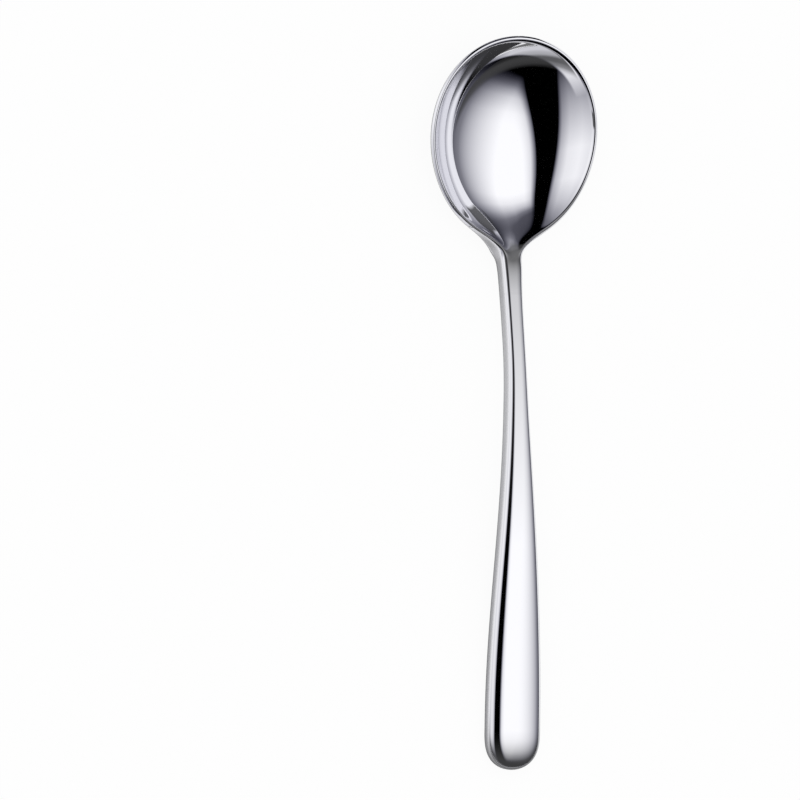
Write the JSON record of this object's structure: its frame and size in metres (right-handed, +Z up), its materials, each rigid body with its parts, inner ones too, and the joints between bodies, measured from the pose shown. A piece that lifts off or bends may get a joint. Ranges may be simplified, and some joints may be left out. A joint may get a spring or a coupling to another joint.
{
  "type": "soup spoon",
  "caption": "Round-bowled soup spoon of mirror-polished stainless steel, with a slim neck and an arched hollow handle that swells to a broad rounded end.",
  "frame": {"origin": "centre of the spoon's bounding box, on the table that it lies on", "axes": "+X from the bowl to the end of the handle, +Z up out of the bowl, so the spoon lies as it rests on a table"},
  "size_m": [0.2, 0.0514, 0.0159],
  "materials": {
    "polished_steel": "mirror-polished stainless steel",
    "ground_weld": "weld ground flush and polished with the steel beside it"
  },
  "bodies": {
    "root": {"bowl": "polished_steel", "joint_weld": "ground_weld", "handle_front_shell": "polished_steel", "handle_back_shell": "polished_steel", "seam_weld": "ground_weld"}
  },
  "joints": []
}
